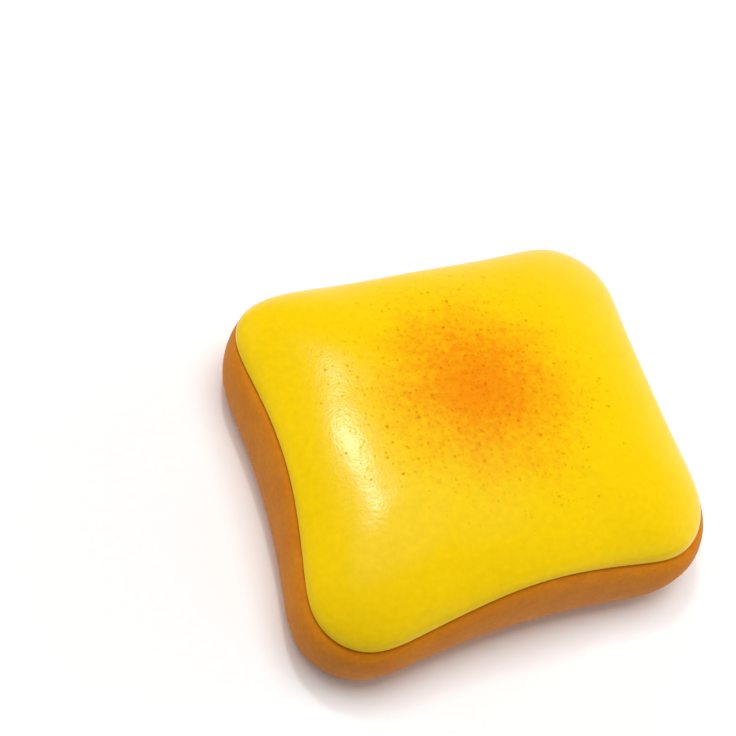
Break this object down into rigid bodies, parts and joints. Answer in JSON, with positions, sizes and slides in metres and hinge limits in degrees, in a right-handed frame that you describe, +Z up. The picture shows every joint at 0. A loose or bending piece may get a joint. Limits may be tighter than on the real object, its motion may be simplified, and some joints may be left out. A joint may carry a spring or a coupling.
{
  "type": "squeeze toy in the shape of buttered toast",
  "caption": "Soft foam squeeze toy shaped as a slice of toast lying flat: a rounded square with hollow sides, a brown base and a thick domed yellow butter layer with an orange blush.",
  "frame": {"origin": "centre of the box of the whole toy, on the plane of its flat underside", "axes": "+Z up out of the butter; +X along the slightly longer side, to the right; +Y to the back"},
  "size_m": [0.1034, 0.0956, 0.031],
  "materials": {
    "toast": "matt brown foam skin, like suede",
    "butter": "smooth yellow foam skin with a soft gloss, an airbrushed orange blush and fine speckles"
  },
  "bodies": {
    "root": {"toast_base": "toast", "butter_top": "butter"}
  },
  "joints": []
}
